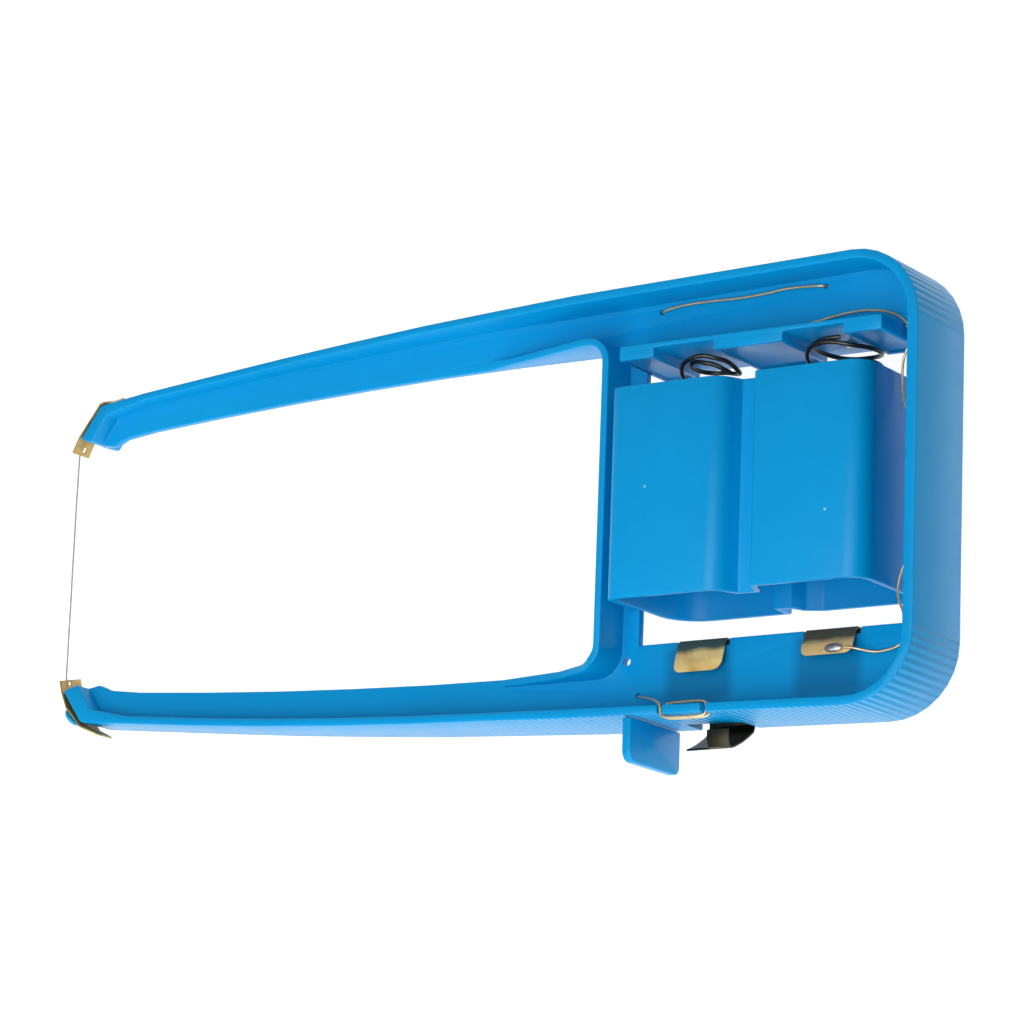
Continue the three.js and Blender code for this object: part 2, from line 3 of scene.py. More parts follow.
import bpy
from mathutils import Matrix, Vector


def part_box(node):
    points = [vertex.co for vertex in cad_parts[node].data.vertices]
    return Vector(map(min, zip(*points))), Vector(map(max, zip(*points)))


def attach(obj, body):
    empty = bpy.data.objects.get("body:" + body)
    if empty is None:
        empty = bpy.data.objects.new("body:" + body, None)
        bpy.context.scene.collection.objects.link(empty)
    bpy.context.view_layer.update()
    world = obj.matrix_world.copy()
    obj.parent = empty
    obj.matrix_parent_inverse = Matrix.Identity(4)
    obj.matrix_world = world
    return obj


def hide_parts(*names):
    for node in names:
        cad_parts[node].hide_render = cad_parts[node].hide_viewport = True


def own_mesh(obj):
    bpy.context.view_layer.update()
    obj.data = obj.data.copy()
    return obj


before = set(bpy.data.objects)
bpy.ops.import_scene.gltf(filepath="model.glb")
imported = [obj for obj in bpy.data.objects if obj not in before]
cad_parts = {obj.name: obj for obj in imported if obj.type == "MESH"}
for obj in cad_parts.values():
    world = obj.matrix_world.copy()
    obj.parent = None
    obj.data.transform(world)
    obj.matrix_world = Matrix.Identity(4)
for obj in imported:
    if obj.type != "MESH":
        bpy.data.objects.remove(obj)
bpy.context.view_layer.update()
scene = bpy.context.scene

mm = 0.001
drawingOrigin = Vector((113.12, 4.21, 14.7)) * mm  # middle of the handle's end face


def place(x, y, z):
    return drawingOrigin + Vector((x, y, z)) * mm


def linear(hexValue):
    channels = [int(hexValue[i : i + 2], 16) / 255 for i in (1, 3, 5)]
    return [c / 12.92 if c <= 0.04045 else ((c + 0.055) / 1.055) ** 2.4 for c in channels] + [1.0]


cameraSet = {
    "lens": 159.04,
    "place": (0.53796, -0.21476, 0.82587),
    "turn": (14.2168, 32.6712, 2.4711),
}
lampAim = Vector((0, 0, 0.01))
lampSet = {
    # name: place, size, power, colour
    "overhead": ((0.05, -0.6, 1.15), 1.1, 9.0, "#FFFFFF"),
    "cameraSide": ((0.35, -0.1, 1.2), 0.9, 4.0, "#FFFFFF"),
    "switchSide": ((0.0, -1.2, 0.45), 0.8, 5.0, "#FFFFFF"),
}
skySet = {"colour": "#FFFFFF", "strength": 0.3}
floorSet = {
    "size": 8.0, "drop": 0.0006, "glow": 0.9, "lit": "#FFFFFF", "colour": "#959593", "grain": "#9C9C9B",
}


def setCamera():
    bpy.ops.object.camera_add(
        location=cameraSet["place"],
        rotation=[math.radians(a) for a in cameraSet["turn"]],
    )
    camera = bpy.context.object
    camera.name = "viewCamera"
    camera.data.sensor_width = 36
    camera.data.lens = cameraSet["lens"]
    camera.data.clip_start = 0.05
    camera.data.clip_end = 20
    scene.camera = camera
    print("camera set")


def setLamps():
    for name, (where, size, power, colour) in lampSet.items():
        bpy.ops.object.light_add(type="AREA", location=where)
        lamp = bpy.context.object
        lamp.name = name
        lamp.data.shape = "DISK"
        lamp.data.size = size
        lamp.data.energy = power
        lamp.data.color = linear(colour)[:3]
        aim = lampAim - lamp.location
        lamp.rotation_euler = aim.to_track_quat("-Z", "Y").to_euler()
    world = bpy.data.worlds.new("studioRoom")
    scene.world = world
    world.use_nodes = True
    sky = world.node_tree.nodes["Background"]
    sky.inputs["Color"].default_value = linear(skySet["colour"])
    sky.inputs["Strength"].default_value = skySet["strength"]
    scene.view_settings.view_transform = "Standard"
    print("lamps set")


# Adds one node: settings are inputs or properties by name, links are outputs by input name.
def addNode(material, kind, settings=None, **links):
    node = material.node_tree.nodes.new(kind)
    for key, value in (settings or {}).items():
        if key in node.inputs:
            node.inputs[key].default_value = value
        else:
            setattr(node, key, value)
    for key, source in links.items():
        numbered = key[0] == "i" and key[1:].isdigit()  # i0, i6 and so on, for sockets that share a name
        socket = int(key[1:]) if numbered else key
        material.node_tree.links.new(source, node.inputs[socket])
    return node


def startMaterial(name, sockets):
    material = bpy.data.materials.new(name)
    material.use_nodes = True
    shader = material.node_tree.nodes["Principled BSDF"]
    for key, value in sockets.items():
        shader.inputs[key].default_value = value
    return material, shader


def join(material, source, target):
    material.node_tree.links.new(source, target)


shadeSet = {"softness": 0.0018, "strength": 0.55}  # painted shade: the web's colour is painted darker over each clip's far leg


# Box of soft edges round a place on the moulding, 1 inside and 0 outside.
def softPatch(material, parts, box):
    soft = shadeSet["softness"]
    masks = []
    for axis, (low, high) in zip("XY", box):
        rise = addNode(
            material, "ShaderNodeMapRange",
            {"interpolation_type": "SMOOTHSTEP", "From Min": low - soft, "From Max": low + soft},
            Value=parts.outputs[axis],
        )
        fall = addNode(
            material, "ShaderNodeMapRange",
            {"interpolation_type": "SMOOTHSTEP", "From Min": high + soft, "From Max": high - soft},
            Value=parts.outputs[axis],
        )
        both = addNode(
            material, "ShaderNodeMath", {"operation": "MULTIPLY"}, i0=rise.outputs[0], i1=fall.outputs[0]
        )
        masks.append(both)
    return addNode(
        material, "ShaderNodeMath", {"operation": "MULTIPLY"}, i0=masks[0].outputs[0], i1=masks[1].outputs[0]
    )


# Injection-moulded polystyrene: glossy, a little cloudy, so light spreads in it and thin edges glow.
plasticSet = {
    "body": "#009CDB",
    "deep": "#0090CE",
    # the colour of the painted shade over the clips' far legs
    "paintedLegShade": "#0C5C90",
    "fleck": "#9AD6F4",
    "roughness": 0.3,
    "ior": 1.5,
    "shine": 0.2,
    "spread": (0.25, 0.7, 1.0),
    "spreadScale": 0.0022,
    "spreadWeight": 0.22,
}
ribSet = {"strength": 0.5, "height": 0.00035}


def mouldedPolystyrene(name, ribbed, flecked, paintedShadeBoxes=()):
    material, shader = startMaterial(name, {
        "IOR": plasticSet["ior"],
        "Specular IOR Level": plasticSet["shine"],
        "Subsurface Weight": plasticSet["spreadWeight"],
        "Subsurface Radius": plasticSet["spread"],
        "Subsurface Scale": plasticSet["spreadScale"],
    })
    where = addNode(material, "ShaderNodeTexCoord")
    flow = addNode(
        material, "ShaderNodeTexNoise", {"Scale": 38.0, "Detail": 3.0, "Roughness": 0.5},
        Vector=where.outputs["Object"],
    )  # cloudy flow marks, about 25 mm across
    colour = addNode(material, "ShaderNodeMix", {"data_type": "RGBA"}, i0=flow.outputs["Fac"])
    colour.inputs[6].default_value = linear(plasticSet["deep"])
    colour.inputs[7].default_value = linear(plasticSet["body"])
    result = colour.outputs[2]
    parts = addNode(material, "ShaderNodeSeparateXYZ", Vector=where.outputs["Object"])
    # painted shade: each box darkens the base colour towards the painted leg shade colour
    for box in paintedShadeBoxes:
        mask = softPatch(material, parts, box)
        weaker = addNode(material, "ShaderNodeMath", {"operation": "MULTIPLY"}, i0=mask.outputs[0])
        weaker.inputs[1].default_value = shadeSet["strength"]
        shade = addNode(material, "ShaderNodeMix", {"data_type": "RGBA"}, i0=weaker.outputs[0], i6=result)
        shade.inputs[7].default_value = linear(plasticSet["paintedLegShade"])
        result = shade.outputs[2]
    if flecked:
        specks = addNode(
            material, "ShaderNodeTexVoronoi", {"Scale": 210.0, "Randomness": 1.0},
            Vector=where.outputs["Object"],
        )  # dust and nicks a few millimetres apart
        small = addNode(
            material, "ShaderNodeMapRange", {"From Min": 0.075, "From Max": 0.03},
            Value=specks.outputs["Distance"],
        )
        rare = addNode(
            material, "ShaderNodeTexNoise", {"Scale": 95.0, "Detail": 2.0}, Vector=where.outputs["Object"]
        )  # they gather in places 10 mm across
        pick = addNode(
            material, "ShaderNodeMapRange", {"From Min": 0.54, "From Max": 0.6}, Value=rare.outputs["Fac"]
        )
        both = addNode(
            material, "ShaderNodeMath", {"operation": "MULTIPLY"}, i0=small.outputs[0], i1=pick.outputs[0]
        )
        speckled = addNode(material, "ShaderNodeMix", {"data_type": "RGBA"}, i0=both.outputs[0], i6=result)
        speckled.inputs[7].default_value = linear(plasticSet["fleck"])
        result = speckled.outputs[2]
    join(material, result, shader.inputs["Base Color"])
    polish = addNode(
        material, "ShaderNodeTexNoise", {"Scale": 260.0, "Detail": 4.0}, Vector=where.outputs["Object"]
    )  # uneven gloss, 4 mm across
    rough = addNode(
        material, "ShaderNodeMapRange",
        {"To Min": plasticSet["roughness"] - 0.06, "To Max": plasticSet["roughness"] + 0.1},
        Value=polish.outputs["Fac"],
    )
    join(material, rough.outputs[0], shader.inputs["Roughness"])
    ripple = addNode(
        material, "ShaderNodeTexNoise", {"Scale": 120.0, "Detail": 2.0}, Vector=where.outputs["Object"]
    )  # shallow sink marks, 8 mm across
    bump = addNode(
        material, "ShaderNodeBump", {"Strength": 0.25, "Distance": 0.0002}, Height=ripple.outputs["Fac"]
    )
    normal = bump.outputs["Normal"]
    if ribbed:
        along = addNode(material, "ShaderNodeUVMap", {"uv_map": "grip"})
        grip = addNode(material, "ShaderNodeSeparateXYZ", Vector=along.outputs["UV"])
        turn = addNode(material, "ShaderNodeMath", {"operation": "MULTIPLY"}, i0=grip.outputs["X"])
        turn.inputs[1].default_value = 2 * math.pi
        wave = addNode(material, "ShaderNodeMath", {"operation": "SINE"}, i0=turn.outputs[0])
        ribs = addNode(
            material, "ShaderNodeMath", {"operation": "MULTIPLY"}, i0=wave.outputs[0], i1=grip.outputs["Y"]
        )
        ribBump = addNode(
            material, "ShaderNodeBump", {"Strength": ribSet["strength"], "Distance": ribSet["height"]},
            Height=ribs.outputs[0], Normal=normal,
        )
        normal = ribBump.outputs["Normal"]
    join(material, normal, shader.inputs["Normal"])
    return material


# Rolled brass sheet: bright and lined where it is lit, brown where the lacquer has gone, and where asked a
# painted dark reflection towards the fold.
def rolledBrass(name, lit, tarnish, roughness, lineTurn, metallic=0.6, paintedFoldShade=None):
    material, shader = startMaterial(name, {"Metallic": metallic})
    where = addNode(material, "ShaderNodeTexCoord")
    stretch = addNode(
        material, "ShaderNodeMapping", {"Scale": lineTurn}, Vector=where.outputs["Object"]
    )
    lines = addNode(
        material, "ShaderNodeTexNoise", {"Scale": 900.0, "Detail": 5.0, "Roughness": 0.65},
        Vector=stretch.outputs[0],
    )  # rolling marks 1 mm wide and 9 mm long, coarser than real ones so that they show
    stain = addNode(
        material, "ShaderNodeTexNoise", {"Scale": 190.0, "Detail": 6.0}, Vector=where.outputs["Object"]
    )  # stains 5 mm across
    old = addNode(
        material, "ShaderNodeMapRange", {"From Min": 0.46, "From Max": 0.72}, Value=stain.outputs["Fac"]
    )
    colour = addNode(material, "ShaderNodeMix", {"data_type": "RGBA"}, i0=old.outputs[0])
    colour.inputs[6].default_value = linear(lit)
    colour.inputs[7].default_value = linear(tarnish)
    result = colour.outputs[2]
    # painted dark reflection: the colour is darkened towards the fold
    if paintedFoldShade:
        parts = addNode(material, "ShaderNodeSeparateXYZ", Vector=where.outputs["Object"])
        uneven = addNode(
            material, "ShaderNodeMath", {"operation": "MULTIPLY_ADD"}, i0=stain.outputs["Fac"]
        )
        uneven.inputs[1].default_value = paintedFoldShade["uneven"]
        join(material, parts.outputs["Y"], uneven.inputs[2])
        fold = addNode(
            material, "ShaderNodeMapRange", {"From Min": paintedFoldShade["from"], "From Max": paintedFoldShade["to"]},
            Value=uneven.outputs[0],
        )  # painted dark reflection: darker towards the fold, where the sloping leg would reflect dark surroundings
        shade = addNode(material, "ShaderNodeMix", {"data_type": "RGBA"}, i0=fold.outputs[0], i6=result)
        shade.inputs[7].default_value = linear(paintedFoldShade["colour"])
        result = shade.outputs[2]
    join(material, result, shader.inputs["Base Color"])
    rough = addNode(
        material, "ShaderNodeMapRange", {"To Min": roughness - 0.08, "To Max": roughness + 0.16},
        Value=lines.outputs["Fac"],
    )
    join(material, rough.outputs[0], shader.inputs["Roughness"])
    bump = addNode(
        material, "ShaderNodeBump", {"Strength": 0.3, "Distance": 0.00005}, Height=lines.outputs["Fac"]
    )
    join(material, bump.outputs["Normal"], shader.inputs["Normal"])
    return material


# Drawn wire: one metal, dulled in patches by handling.
def drawnWire(name, clean, dull, metallic, roughness):
    material, shader = startMaterial(name, {"Metallic": metallic})
    where = addNode(material, "ShaderNodeTexCoord")
    patches = addNode(
        material, "ShaderNodeTexNoise", {"Scale": 420.0, "Detail": 4.0}, Vector=where.outputs["Object"]
    )  # 2.4 mm long
    colour = addNode(material, "ShaderNodeMix", {"data_type": "RGBA"}, i0=patches.outputs["Fac"])
    colour.inputs[6].default_value = linear(clean)
    colour.inputs[7].default_value = linear(dull)
    join(material, colour.outputs[2], shader.inputs["Base Color"])
    rough = addNode(
        material, "ShaderNodeMapRange", {"To Min": roughness, "To Max": roughness + 0.2},
        Value=patches.outputs["Fac"],
    )
    join(material, rough.outputs[0], shader.inputs["Roughness"])
    return material


clipLegShadeBoxes = (
    ((0.0491, 0.0650), (-0.0392, -0.0268)),
    ((0.0805, 0.0960), (-0.0396, -0.0265)),
)  # the clips' far legs, over which the web's colour is painted darker as their shade
# sky blue that lightens at thin edges, ribbed where the hand closes on the handle, with painted shade of the
# clips' far legs on the web
bowPlastic = mouldedPolystyrene("bluePolystyreneBow", True, False, clipLegShadeBoxes)
# the same blue with pale nicks scattered on it
sleevePlastic = mouldedPolystyrene("bluePolystyreneSleeve", False, True)
# the same blue, clean and cloudy
smallPlastic = mouldedPolystyrene("bluePolystyreneSmall", False, False)
# warm yellow legs, with a painted grey-green dark reflection towards the fold
clipBrass = rolledBrass(
    "rolledBrassClip", "#FFE094", "#D8AC60", 0.34, (1.0, 0.12, 1.0), metallic=0.42,
    paintedFoldShade={"from": -0.0280, "to": -0.0268, "uneven": 0.002, "colour": "#4C6458"},
)
# duller and browner, from the heat of soldering, with a painted dark reflection towards the fold
solderedBrass = rolledBrass(
    "rolledBrassSoldered", "#E8C888", "#967A48", 0.34, (1.0, 0.12, 1.0), metallic=0.42,
    paintedFoldShade={"from": -0.0282, "to": -0.0266, "uneven": 0.003, "colour": "#5C5C48"},
)
# nearly black leaf that glints only at its bends; the near-black colour is painted shade, standing in for
# the dark surroundings it reflects
leafBrass = rolledBrass("paintedDarkBrassLeaf", "#403E30", "#1C2826", 0.42, (0.12, 1.0, 1.0), metallic=1.0)
# pale gold plates with brown blotches
tipBrass = rolledBrass("rolledBrassTip", "#C0A466", "#8C7042", 0.4, (1.0, 1.0, 0.12), metallic=0.7)
# a fine warm line with bright glints
leadWire = drawnWire("bareBrassLead", "#FFE8BC", "#B8945C", 0.7, 0.22)
# dark turns with a thin highlight
springWire = drawnWire("darkSpringSteel", "#6A6A5E", "#2E2E28", 1.0, 0.28)
# a bright silver drop
solderTin = drawnWire("tinSolder", "#D8D8D6", "#9A9A98", 1.0, 0.22)
# a soft grey hairline between the tips
heatWire = drawnWire("nickelChromeWire", "#C8C8C8", "#A4A4A4", 0.85, 0.35)
print("materials made")


def deselectAll():
    if bpy.context.object and bpy.context.object.mode != "OBJECT":
        bpy.ops.object.mode_set(mode="OBJECT")
    bpy.ops.object.select_all(action="DESELECT")


def activate(piece):
    deselectAll()
    piece.select_set(True)
    bpy.context.view_layer.objects.active = piece


def settle(piece, name, material, body, nodes):
    piece.name = name
    piece.data.name = name
    piece.data.materials.clear()
    piece.data.materials.append(material)
    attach(piece, body)
    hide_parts(*nodes)


drilledHoles = [
    place(x, y, 0) for x, y in ((-74.0, -33.5), (-67.7, 43.2), (-27.3, 44.3), (-71.0, -41.2))
]  # their rims stay sharp
holeReach = 1.6 * mm


# Keys of the edges where two faces meet at more than an angle.
def foldedEdges(mesh, angle):
    normals = {}
    for face in mesh.polygons:
        for key in face.edge_keys:
            normals.setdefault(key, []).append(face.normal.copy())
    return {key for key, pair in normals.items() if len(pair) == 2 and pair[0].angle(pair[1], 0) > angle}


roundSet = {"segments": 2, "sharp": 28, "flat": 0.6, "shade": 34, "weld": 0.00002}


# A moulded or pressed piece: the solid's faces merged, its edges rounded off as a tool leaves them.
def roundedPiece(node, radius):
    piece = bpy.data.objects.new(node + "Rounded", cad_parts[node].data.copy())
    scene.collection.objects.link(piece)
    activate(piece)
    bpy.ops.object.mode_set(mode="EDIT")
    bpy.ops.mesh.select_all(action="SELECT")
    bpy.ops.mesh.remove_doubles(threshold=roundSet["weld"])
    bpy.ops.mesh.dissolve_limited(angle_limit=math.radians(roundSet["flat"]))
    bpy.ops.object.mode_set(mode="OBJECT")
    weights = piece.data.attributes.new("bevel_weight_edge", "FLOAT", "EDGE")
    spots = [vertex.co for vertex in piece.data.vertices]
    turned = foldedEdges(piece.data, math.radians(roundSet["sharp"]))
    for edge in piece.data.edges:
        a, b = (spots[v] for v in edge.vertices)
        drilled = any(max((a - hole).xy.length, (b - hole).xy.length) < holeReach for hole in drilledHoles)
        weights.data[edge.index].value = 0.0 if drilled or edge.key not in turned else 1.0
    bevel = piece.modifiers.new("edge", "BEVEL")
    bevel.width = radius
    bevel.segments = roundSet["segments"]
    bevel.limit_method = "WEIGHT"
    bevel.use_clamp_overlap = False
    bevel.miter_outer = "MITER_ARC"
    bpy.ops.object.modifier_apply(modifier="edge")
    bpy.ops.object.shade_smooth_by_angle(angle=math.radians(roundSet["shade"]))
    return piece


gripSet = {
    # in the drawing's millimetres, except the depths, the slope and what a face's normal must reach
    "pitch": 1.75,
    "corner": 15.7,
    "cornerInside": 15.0,
    "flatHalf": 32.8,
    "start": 28.5,
    "fade": ((-55, 1.0), (-86, 0.8), (-106, 0.35), (-126, 0.0)),
    "edgeHalf": 49.0,
    "edgeSlope": 0.0266,
    "wall": 1.2,
    "sideStart": -12,
    "endFace": -3,
    "endHalf": 33,
    "facing": 0.5,
    "upright": 0.3,
}


def gripRun(x, y):
    across = abs(y)
    if x > -gripSet["corner"] and across > gripSet["flatHalf"]:
        angle = math.atan2(across - gripSet["flatHalf"], x + gripSet["corner"])
        return gripSet["flatHalf"] + gripSet["corner"] * angle
    if x > -gripSet["corner"]:
        return across
    return gripSet["flatHalf"] + gripSet["corner"] * math.pi / 2 - gripSet["corner"] - x


def gripDepth(x, run):
    if x > -gripSet["corner"]:
        return 1.0 if run > gripSet["start"] else 0.0
    fade = gripSet["fade"]
    if x > fade[0][0]:
        return 1.0
    for (x0, d0), (x1, d1) in zip(fade, fade[1:]):
        if x > x1:
            return d1 + (d0 - d1) * (x - x1) / (x0 - x1)
    return 0.0


def bowBody():
    bow = roundedPiece("bow_frame", 0.0003)
    mesh = bow.data
    grip = mesh.uv_layers.new(name="grip")
    for face in mesh.polygons:
        middle = (face.center - drawingOrigin) / mm
        onEnd = middle.x > gripSet["endFace"] and abs(middle.y) < gripSet["endHalf"]
        outward = face.normal.x if onEnd else 0
        sideways = face.normal.y * math.copysign(1, middle.y)
        edgeHalf = gripSet["edgeHalf"] + gripSet["edgeSlope"] * middle.x
        outer = (
            abs(middle.y) > edgeHalf - gripSet["wall"]
            and sideways > gripSet["facing"]
            and middle.x < gripSet["sideStart"]
        )
        fromCorner = math.hypot(middle.x + gripSet["corner"], abs(middle.y) - gripSet["flatHalf"])
        cornerOut = (
            middle.x > -gripSet["corner"]
            and fromCorner > gripSet["cornerInside"]
            and face.normal.x + sideways > gripSet["facing"]
        )
        outer = outer or outward > gripSet["facing"] or cornerOut
        ribbed = outer and abs(face.normal.z) < gripSet["upright"]
        for loop in face.loop_indices:
            spot = (mesh.vertices[mesh.loops[loop].vertex_index].co - drawingOrigin) / mm
            run = gripRun(spot.x, spot.y)
            depth = gripDepth(spot.x, run) if ribbed else 0.0
            grip.data[loop].uv = (run / gripSet["pitch"], depth)
    settle(bow, "bowMoulding", bowPlastic, "frame", ["bow_frame"])
    print("bow done", len(mesh.polygons))


pressedSet = {
    # node: piece, material, body, slot, edge radius
    "finger_guard": ("fingerGuard", smallPlastic, "frame", "blue_plastic", 0.0003),
    "spring_rail": ("springRail", smallPlastic, "frame", "blue_plastic", 0.0003),
    "battery_sleeve": ("batterySleeve", sleevePlastic, "battery_sleeve", "blue_plastic", 0.0003),
    "stake_plain": ("stakePlain", smallPlastic, "frame", "blue_plastic", 0.0001),
    "stake_switch": ("stakeSwitch", smallPlastic, "frame", "blue_plastic", 0.0001),
    "contact_clip_1": ("contactClip1", clipBrass, "frame", "brass_sheet", 0.00006),
    "contact_clip_2": ("contactClip2", solderedBrass, "frame", "brass_sheet", 0.00006),
    "switch_strip": ("switchStrip", leafBrass, "frame", "brass_sheet", 0.00006),
    "switch_leaf": ("switchLeaf", leafBrass, "switch_leaf", "brass_sheet", 0.00006),
    "tip_terminal_plain": ("tipTerminalPlain", tipBrass, "frame", "brass_sheet", 0.00006),
    "tip_terminal_switch": ("tipTerminalSwitch", tipBrass, "frame", "brass_sheet", 0.00006),
}


def pressedPieces():
    for node, (name, material, body, slot, radius) in pressedSet.items():
        piece = roundedPiece(node, radius)
        settle(piece, name, material, body, [node])
        print(name, "done")


wireSet = {"around": 4, "along": 6, "weld": 0.000001, "shade": 40}


# A round wire along a smooth curve that its points steer.
def wirePiece(points, radius):
    curve = bpy.data.curves.new("wireRun", "CURVE")
    curve.dimensions = "3D"
    curve.bevel_depth = radius
    curve.bevel_resolution = wireSet["around"]
    curve.use_fill_caps = True
    curve.resolution_u = wireSet["along"]
    run = curve.splines.new("NURBS")
    run.points.add(len(points) - 1)
    for spot, point in zip(run.points, points):
        spot.co = (*point, 1.0)
    run.order_u = 3
    run.use_endpoint_u = True
    piece = bpy.data.objects.new("wireRun", curve)
    scene.collection.objects.link(piece)
    activate(piece)
    bpy.ops.object.convert(target="MESH")
    piece = bpy.context.object
    bpy.ops.object.mode_set(mode="EDIT")
    bpy.ops.mesh.select_all(action="SELECT")
    bpy.ops.mesh.remove_doubles(threshold=wireSet["weld"])
    bpy.ops.mesh.normals_make_consistent(inside=False)
    bpy.ops.object.mode_set(mode="OBJECT")
    bpy.ops.object.shade_smooth_by_angle(angle=math.radians(wireSet["shade"]))
    return piece


springSet = {
    # turns: angle, radius, Y in the drawing's millimetres
    "spring_1": {
        "centre": -55.7,
        "turns": (
            (15, 6.0, 27.7), (60, 5.2, 29.3), (110, 4.4, 30.2), (180, 4.0, 29.8), (270, 5.0, 29.8),
            (345, 6.5, 28.4), (400, 6.4, 30.1), (440, 6.2, 30.9), (490, 6.1, 30.1), (540, 6.5, 28.0),
            (630, 6.3, 26.2), (720, 6.0, 25.6),
        ),
        "ring": ((0, 5.8, 24.5), (180, 5.8, 24.4), (400, 5.6, 24.4)),
    },
    "spring_2": {
        "centre": -23.0,
        "turns": (
            (70, 6.2, 31.2), (120, 6.4, 31.0), (180, 6.6, 30.6), (270, 7.4, 29.8), (360, 8.2, 28.9),
            (405, 8.0, 29.0), (450, 7.8, 29.9), (490, 7.8, 29.6), (540, 8.1, 28.0), (630, 8.2, 26.6),
            (720, 8.0, 26.2), (790, 7.6, 25.6),
        ),
        "ring": ((70, 7.4, 24.5), (250, 7.4, 24.4), (470, 7.2, 24.4)),
    },
}
springRise = {"fixed": 32.1, "foot": 25.0, "wire": 0.5, "travel": 4.2, "stepAngle": 15}


def turnsRound(centre, turns):
    points = []
    for (angle0, radius0, y0), (angle1, radius1, y1) in zip(turns, turns[1:]):
        steps = max(1, round((angle1 - angle0) / springRise["stepAngle"]))
        for i in range(1 if points else 0, steps + 1):
            t = i / steps
            ease = t * t * (3 - 2 * t)
            angle = math.radians(angle0 + (angle1 - angle0) * t)
            radius = radius0 + (radius1 - radius0) * ease
            points.append(
                place(centre + radius * math.cos(angle), y0 + (y1 - y0) * ease, radius * math.sin(angle))
            )
    return points


def springs():
    for name, spring in springSet.items():
        coil = wirePiece(turnsRound(spring["centre"], spring["turns"]), springRise["wire"] * mm)
        settle(coil, name + "Coil", springWire, "frame", [name + "_coil"])
        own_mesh(coil)
        ring = wirePiece(turnsRound(spring["centre"], spring["ring"]), springRise["wire"] * mm)
        settle(ring, name + "End", springWire, name, [name + "_end"])
    print("springs done")


onWeb = 1.6  # a lead's height where it lies on the web
leadRadius = 0.27 * mm
leadSet = {
    # node: points in the drawing's millimetres
    "lead_plain_near": [
        (-67.7, 43.2, -0.2), (-67.55, 43.22, 1.0), (-66.6, 43.3, onWeb), (-64.5, 43.75, onWeb),
        (-60.9, 44.05, 1.75), (-56.3, 44.15, onWeb), (-50.0, 43.95, 1.7), (-46.7, 43.95, onWeb),
        (-41.1, 44.2, onWeb), (-37.6, 44.6, 1.7), (-34.4, 44.7, onWeb), (-30.5, 44.5, onWeb),
        (-28.2, 44.35, onWeb), (-27.35, 44.3, 1.0), (-27.3, 44.3, -0.2),
    ],
    "lead_plain_arm": [
        (-67.7, 43.2, -0.9), (-68.6, 43.1, -onWeb), (-78, 41.6, -onWeb), (-95, 41.2, -onWeb),
        (-110, 40.6, -onWeb), (-130, 39.7, -onWeb), (-150, 38.4, -onWeb), (-170, 37.1, -onWeb),
        (-190, 35.6, -onWeb), (-212, 33.4, -onWeb), (-218.4, 33.0, -onWeb),
    ],
    "lead_spring_drop": [
        (-27.3, 44.3, -0.9), (-27.1, 43.5, -onWeb), (-25.4, 38.6, -onWeb), (-22.6, 34.8, -1.8),
        (-22.4, 33.0, -1.8), (-22.4, 31.2, -1.6), (-21.6, 30.3, 0.2), (-20.9, 30.0, 2.4),
    ],
    "lead_link": [
        (-50.0, 34.6, 2.3), (-45, 34.9, 1.8), (-40, 35.3, onWeb), (-34, 35.9, onWeb), (-29, 36.5, onWeb),
        (-23.4, 37.4, onWeb), (-17.5, 37.8, onWeb), (-11.5, 36.8, onWeb), (-7.6, 34.4, onWeb),
        (-6.4, 31.8, onWeb), (-6.8, 29.2, 1.4), (-8.5, 26.2, 0.9), (-8.8, 21.5, 0.6), (-8.5, 17.5, 0.6),
        (-6.6, 13, 0.6), (-6.2, 0, 0.6), (-6.4, -15, 0.6), (-8.4, -19.8, 0.6), (-9.0, -22.6, 0.6),
        (-8.7, -25.2, 0.8), (-6.9, -28.6, 1.4), (-6.4, -31.6, onWeb), (-6.6, -34.2, onWeb),
        (-8.6, -35.5, onWeb), (-10.9, -35.9, onWeb), (-13.4, -36.2, 1.8), (-16.4, -35.5, 2.9),
        (-18.4, -35.0, 3.4), (-19.8, -34.9, 3.5),
    ],
    "lead_switch_arm": [
        (-71.0, -41.2, -0.9), (-71.8, -41.2, -onWeb), (-84, -40.9, -onWeb), (-97, -40.6, -onWeb),
        (-110, -40.2, -onWeb), (-130, -39.3, -onWeb), (-150, -38.2, -onWeb), (-170, -36.9, -onWeb),
        (-190, -35.5, -onWeb), (-212, -33.4, -onWeb), (-218.4, -33.0, -onWeb),
    ],
    "switch_contact": [
        (-71.0, -41.2, -0.2), (-70.9, -41.2, 1.0), (-69.8, -41.7, 2.2), (-65.2, -43.0, 6.4),
        (-61.2, -44.3, 9.6), (-59.9, -45.5, 9.9), (-59.9, -47.6, 9.8), (-59.0, -48.2, 9.7),
        (-54.6, -48.25, 9.35), (-50.2, -48.2, 9.0), (-49.3, -47.6, 8.9), (-49.3, -45.6, 8.8),
        (-50.2, -44.9, 8.7), (-54.6, -44.9, 8.6), (-59.0, -44.9, 8.5), (-59.9, -45.5, 8.4),
        (-59.9, -47.6, 8.3), (-59.0, -48.2, 8.2), (-54.6, -48.25, 7.9), (-50.2, -48.2, 7.6),
        (-49.3, -47.6, 7.5), (-49.3, -45.6, 7.4), (-50.2, -44.9, 7.4), (-51.7, -44.9, 7.4),
    ],
}


def leads():
    for node, points in leadSet.items():
        lead = wirePiece([place(*point) for point in points], leadRadius)
        settle(lead, node + "Wire", leadWire, "frame", [node])
    print("leads done")


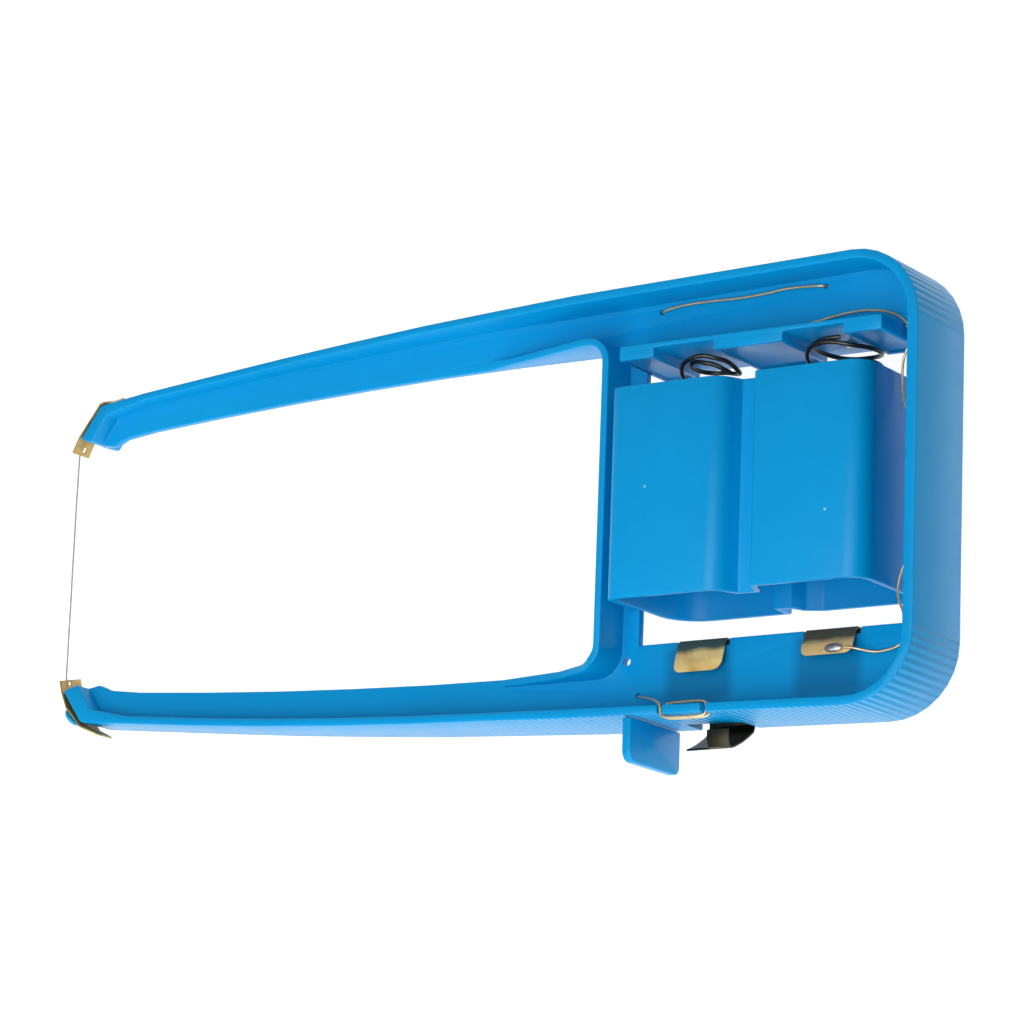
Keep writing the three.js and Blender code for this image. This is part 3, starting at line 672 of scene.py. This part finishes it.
hotWireSet = {
    "height": 1.8,
    "wire": 0.2,
    "run": (
        (-224.78, 28.12), (-224.95, 28.22), (-225.2, 28.36), (-225.5, 28.2), (-225.72, 27.7),
        (-225.95, 26.8), (-225.98, 26.2), (-226.04, 20), (-226.1, 12), (-226.05, 6), (-226.1, 0),
        (-226.02, -8), (-226.06, -16), (-226.02, -23), (-226.08, -25.2), (-226.0, -26.4),
        (-225.8, -27.1), (-225.5, -27.3), (-225.3, -27.2), (-225.08, -27.05),
    ),
}


def hotWireRun():
    points = [place(x, y, hotWireSet["height"]) for x, y in hotWireSet["run"]]
    wire = wirePiece(points, hotWireSet["wire"] * mm)
    settle(wire, "hotWire", heatWire, "frame", ["hot_wire"])
    print("hot wire done")


solderSet = {"node": "solder_bead", "ripple": 0.00012, "lump": 0.0012}


def solderBead():
    low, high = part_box(solderSet["node"])
    middle = (low + high) / 2
    size = (high - low) / 2
    deselectAll()
    bpy.ops.mesh.primitive_ico_sphere_add(subdivisions=4, radius=1.0, location=middle)
    bead = bpy.context.object
    bead.scale = size
    bpy.ops.object.transform_apply(location=True, rotation=True, scale=True)
    lumps = bpy.data.textures.new("solderLumps", "CLOUDS")
    lumps.noise_scale = solderSet["lump"]
    wobble = bead.modifiers.new("lumps", "DISPLACE")
    wobble.texture = lumps
    wobble.strength = solderSet["ripple"]
    wobble.mid_level = 0.5
    bpy.ops.object.modifier_apply(modifier="lumps")
    bpy.ops.object.shade_smooth()
    settle(bead, "solderBead", solderTin, "frame", [solderSet["node"]])
    print("solder done")


cardSet = {"place": (0.232, 0.02, 0.06), "size": (0.004, 0.5, 0.12)}


# A black card beside the handle that keeps the bench's glow off its end wall.
def blackCard():
    deselectAll()
    bpy.ops.mesh.primitive_cube_add(size=1, location=cardSet["place"])
    card = bpy.context.object
    card.name = "blackCard"
    card.scale = cardSet["size"]
    bpy.ops.object.transform_apply(location=True, rotation=True, scale=True)
    material, shader = startMaterial("blackFeltCard", {"Roughness": 0.95})
    where = addNode(material, "ShaderNodeTexCoord")
    nap = addNode(
        material, "ShaderNodeTexNoise", {"Scale": 600.0}, Vector=where.outputs["Object"]
    )  # tufts under 2 mm
    tone = addNode(material, "ShaderNodeMix", {"data_type": "RGBA"}, i0=nap.outputs["Fac"])
    tone.inputs[6].default_value = linear("#0A0A0A")
    tone.inputs[7].default_value = linear("#141414")
    join(material, tone.outputs[2], shader.inputs["Base Color"])
    card.data.materials.append(material)
    print("card done")


def benchTop():
    deselectAll()
    bpy.ops.mesh.primitive_plane_add(size=floorSet["size"], location=(0, 0, -floorSet["drop"]))
    floor = bpy.context.object
    floor.name = "benchTop"
    material, shader = startMaterial("opalTable", {
        "Roughness": 0.6,
        "Emission Color": linear(floorSet["lit"]),
        "Emission Strength": floorSet["glow"],
    })  # opal acrylic, lit from underneath
    where = addNode(material, "ShaderNodeTexCoord")
    grain = addNode(
        material, "ShaderNodeTexNoise", {"Scale": 4.0}, Vector=where.outputs["Object"]
    )  # faint clouds, 250 mm across
    tone = addNode(material, "ShaderNodeMix", {"data_type": "RGBA"}, i0=grain.outputs["Fac"])
    tone.inputs[6].default_value = linear(floorSet["colour"])
    tone.inputs[7].default_value = linear(floorSet["grain"])
    join(material, tone.outputs[2], shader.inputs["Base Color"])
    floor.data.materials.append(material)
    print("bench done")


setCamera()
setLamps()
benchTop()
blackCard()
bowBody()
pressedPieces()
springs()
leads()
hotWireRun()
solderBead()
